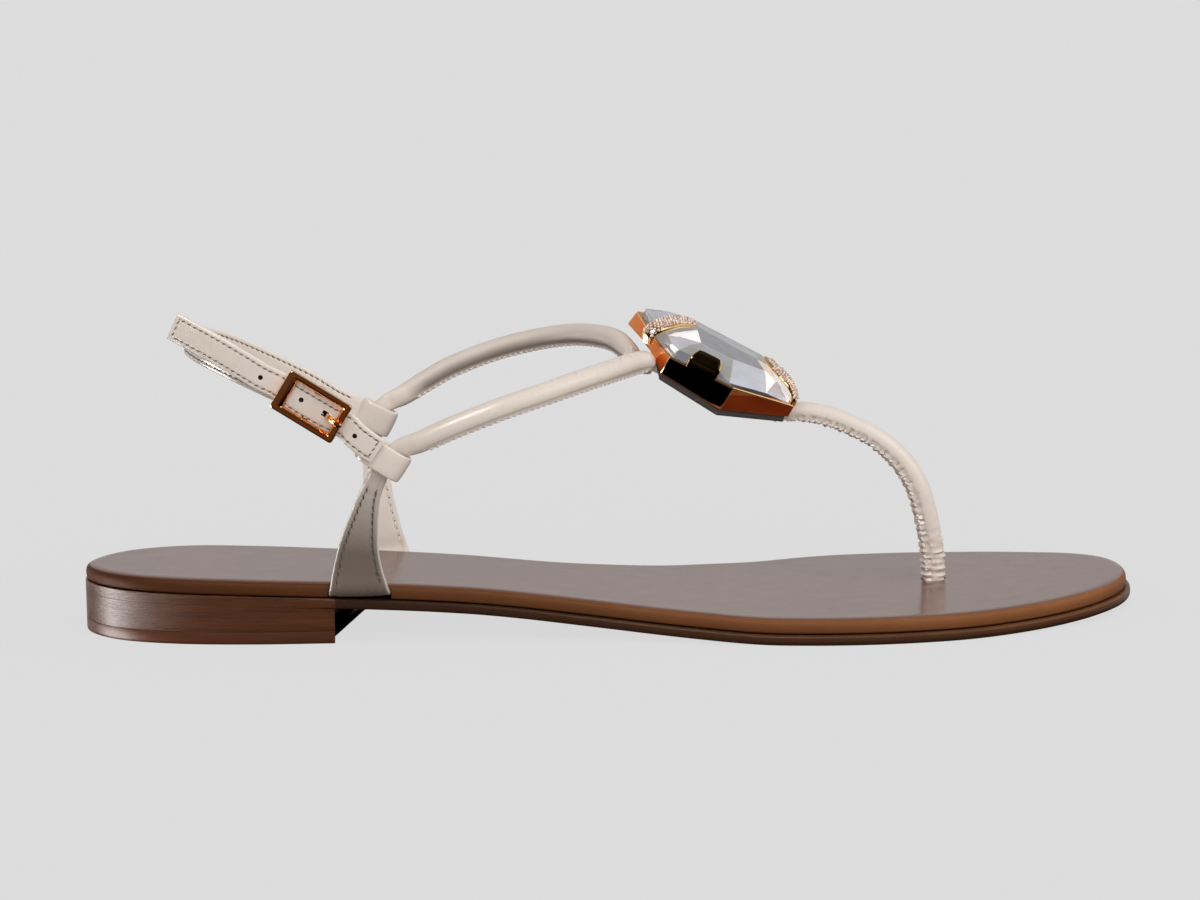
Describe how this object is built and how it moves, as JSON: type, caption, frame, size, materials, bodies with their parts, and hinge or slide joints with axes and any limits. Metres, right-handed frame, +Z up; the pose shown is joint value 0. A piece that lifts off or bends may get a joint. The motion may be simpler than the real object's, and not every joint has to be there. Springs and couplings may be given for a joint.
{
  "type": "flat thong sandal",
  "caption": "Flat leather thong sandal with rolled straps that meet under a large cut stone in a gold setting, a buckled ankle strap and a low stacked heel.",
  "frame": {"origin": "middle of the sandal's length and width, on the floor", "axes": "+X along the sole to the toe, +Z up, -Y to the outer side of the foot"},
  "size_m": [0.251, 0.086, 0.0792],
  "materials": {
    "sole_leather": "waxed brown edge, plain smooth underside",
    "insole_leather": "glossy brown smooth leather",
    "heel_leather": "dark brown stacked leather, fine level lines, satin",
    "lift_rubber": "dark brown, matt",
    "strap_leather": "glossy cream leather with stitched edges",
    "gold_metal": "mirror polished rose gold plating",
    "crystal_glass": "clear cut crystal, foiled behind",
    "pad_suede": "grey suede"
  },
  "bodies": {
    "root": {"outsole": "sole_leather", "insole": "insole_leather", "heel_block": "heel_leather", "top_lift": "lift_rubber", "upper": "strap_leather", "ankle_strap_front": "strap_leather", "ankle_strap_back": "strap_leather", "buckle_frame": "gold_metal", "buckle_prong": "gold_metal", "jewel_setting": "gold_metal", "claw_rear": "gold_metal", "claw_front": "gold_metal", "crystal": "crystal_glass", "jewel_backing": "pad_suede"}
  },
  "joints": []
}
